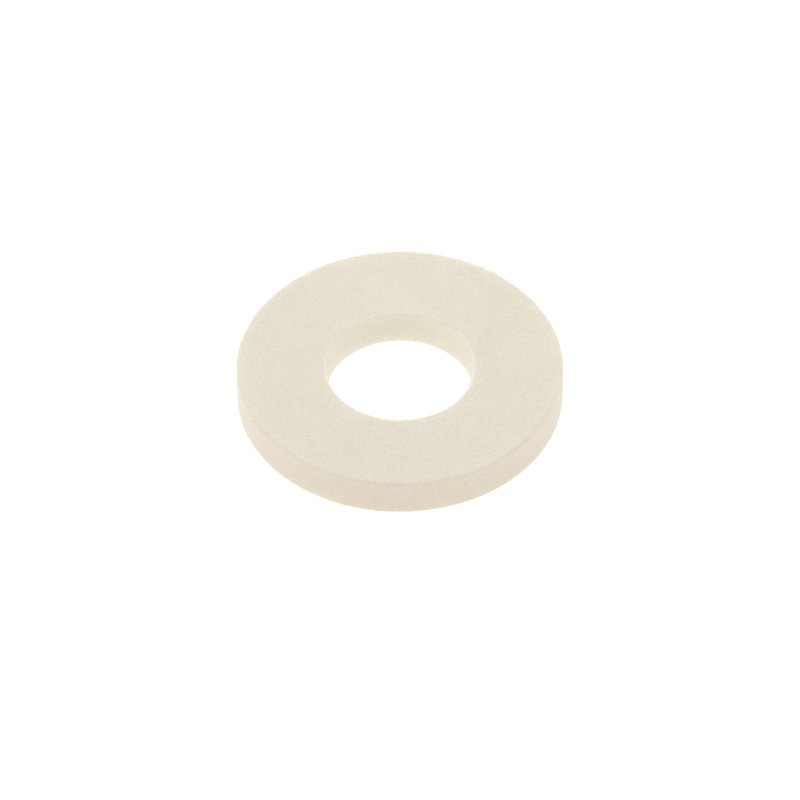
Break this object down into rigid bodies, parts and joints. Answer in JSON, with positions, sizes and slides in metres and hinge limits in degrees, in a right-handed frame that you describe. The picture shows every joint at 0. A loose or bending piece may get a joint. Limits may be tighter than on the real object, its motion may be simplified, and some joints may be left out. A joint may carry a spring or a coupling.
{
  "type": "flat washer",
  "caption": "Thick flat washer in natural nylon: a plain round ring with a clearance bore, which spreads a bolt's load, spaces, and insulates.",
  "frame": {"origin": "centre of the bore at the lower bearing face", "axes": "+Z along the bore axis, from the lower bearing face to the upper one; X and Y are free, because the washer is round"},
  "size_m": [0.0254, 0.0254, 0.0032],
  "materials": {
    "nylon": "satin"
  },
  "bodies": {
    "root": {"washer": "nylon"}
  },
  "joints": []
}
